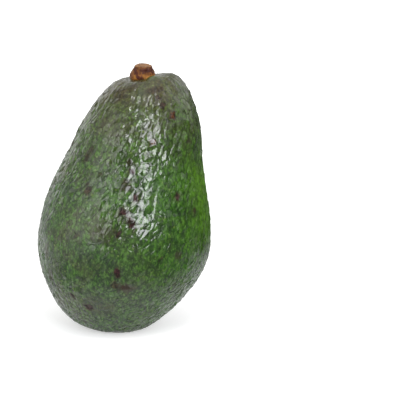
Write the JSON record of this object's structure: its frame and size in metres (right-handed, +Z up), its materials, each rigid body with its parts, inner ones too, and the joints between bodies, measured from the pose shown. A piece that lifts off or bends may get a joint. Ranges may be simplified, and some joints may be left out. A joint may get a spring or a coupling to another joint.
{
  "type": "avocado",
  "caption": "Whole pebbly-skinned avocado standing on its rounded end, pear shaped with an oblique neck and a small woody stem button.",
  "frame": {"origin": "on the resting surface, below the middle of the fruit's bounding box", "axes": "+Z up, from the blossom end towards the neck; the fruit's axis leans 6.7 degrees towards +X"},
  "size_m": [0.066, 0.0648, 0.1018],
  "materials": {
    "skin": "waxy pebbled fruit skin, dark green",
    "stem": "dry woody stalk end, orange brown"
  },
  "bodies": {
    "root": {"fruit": "skin", "stem_button": "stem"}
  },
  "joints": []
}
